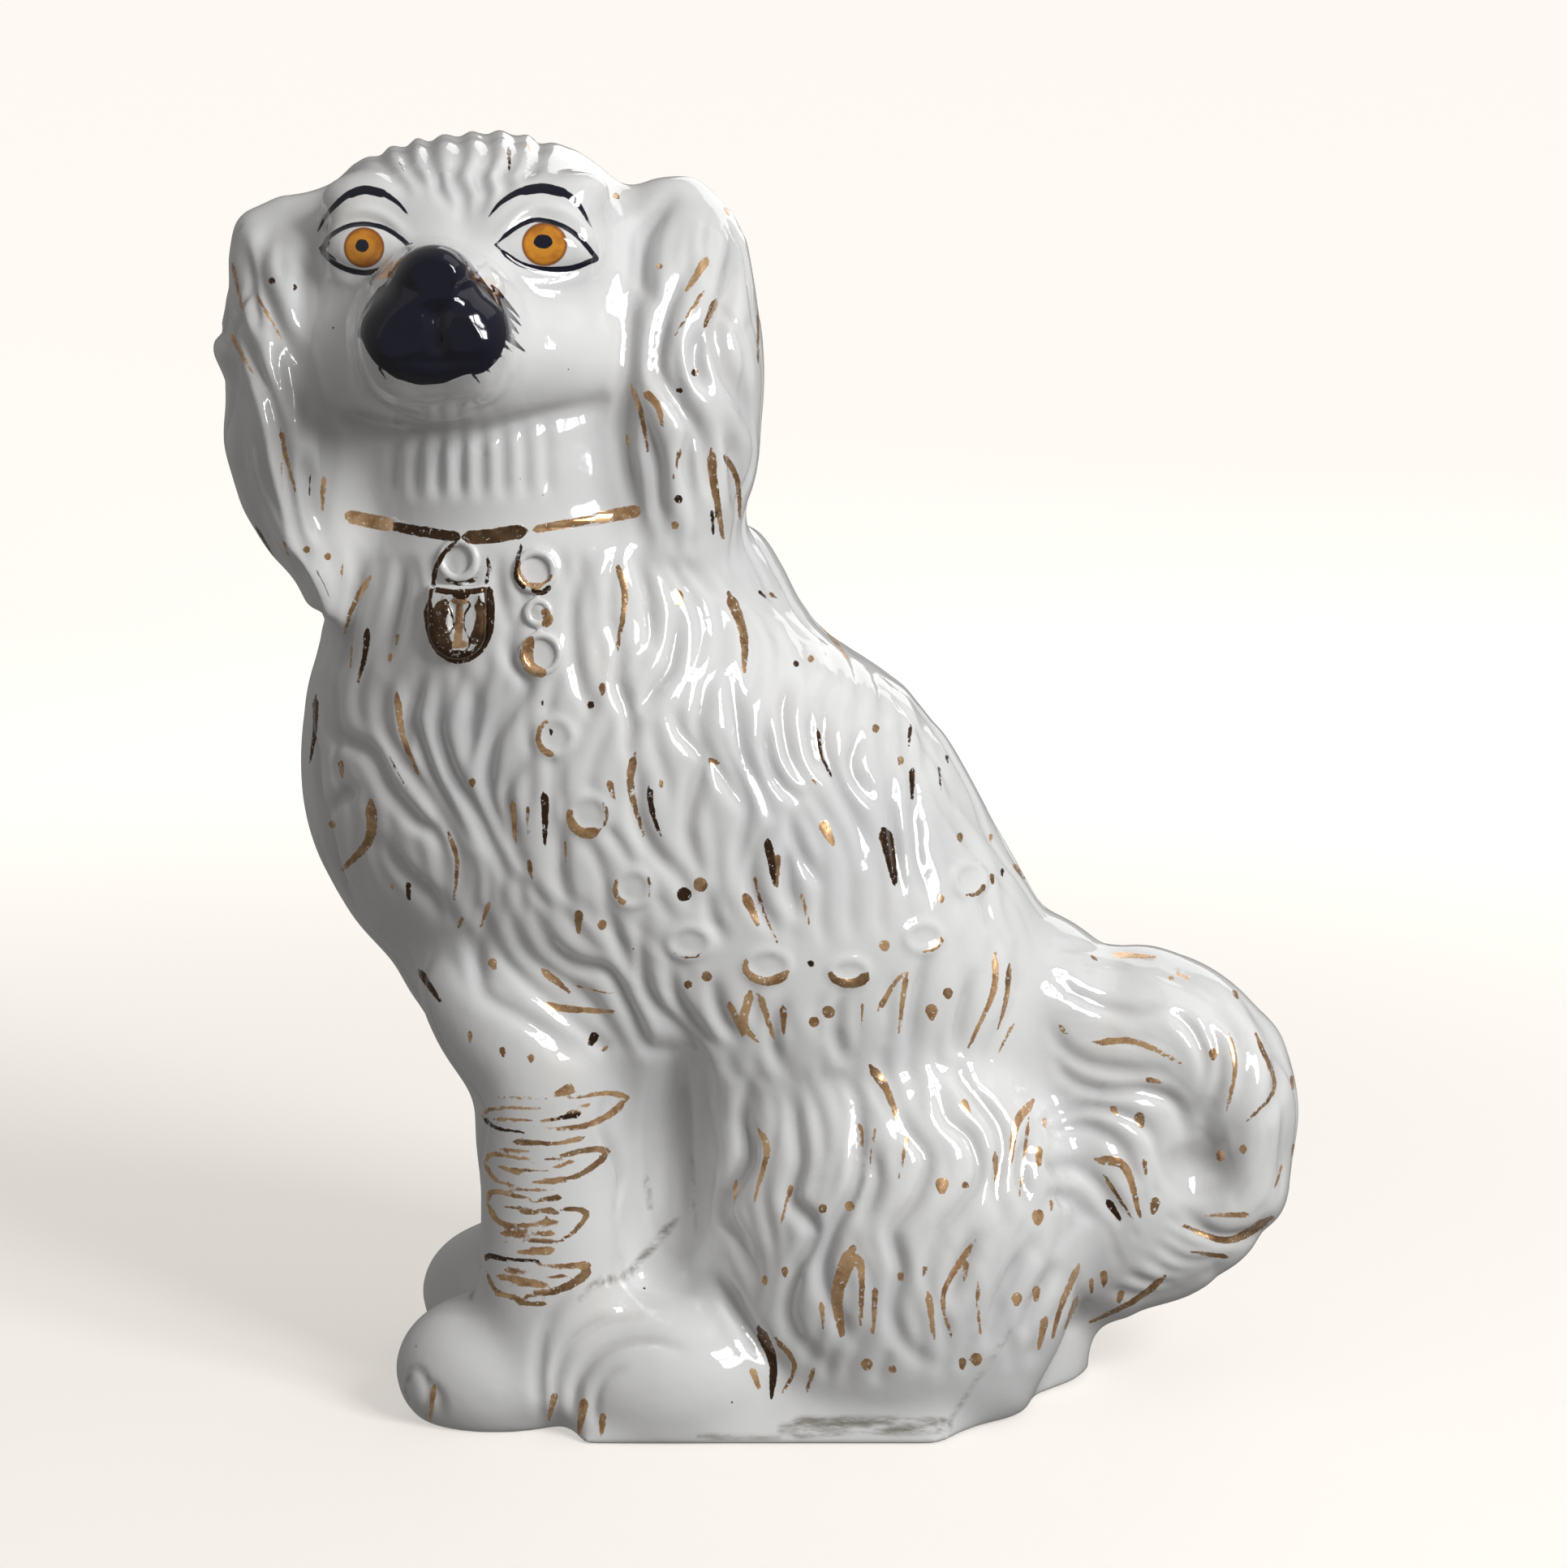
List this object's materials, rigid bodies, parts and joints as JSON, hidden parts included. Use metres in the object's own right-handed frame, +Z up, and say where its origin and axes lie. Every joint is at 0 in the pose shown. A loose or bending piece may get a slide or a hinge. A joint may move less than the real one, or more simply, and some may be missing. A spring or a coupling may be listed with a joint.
{
  "type": "staffordshire dog figure",
  "caption": "Seated pottery spaniel with drooping ears, curled tail, collar, padlock and chain, a hollow white-glazed mantelpiece ornament with a flat base.",
  "frame": {"origin": "on the flat underside, on the parting plane between the front and back shells, below the middle of the trunk", "axes": "+Z up, +X from the breast towards the tail, +Y from the decorated side to the plain one, so the face looks along -Y"},
  "size_m": [0.2739, 0.137, 0.319],
  "materials": {
    "white_glaze": "clear glossy glaze over white earthenware",
    "gilding": "worn bright gilding over the glaze"
  },
  "bodies": {
    "root": {"body_front_shell": "white_glaze", "body_back_shell": "white_glaze", "base_slab": "white_glaze", "left_foreleg": "white_glaze", "right_foreleg": "white_glaze", "tail": "white_glaze", "head_front_shell": "white_glaze", "head_back_shell": "white_glaze", "left_ear": "white_glaze", "right_ear": "white_glaze", "collar_strap": "gilding", "padlock": "gilding", "padlock_shackle": "white_glaze", "chain_links": "white_glaze"}
  },
  "joints": []
}
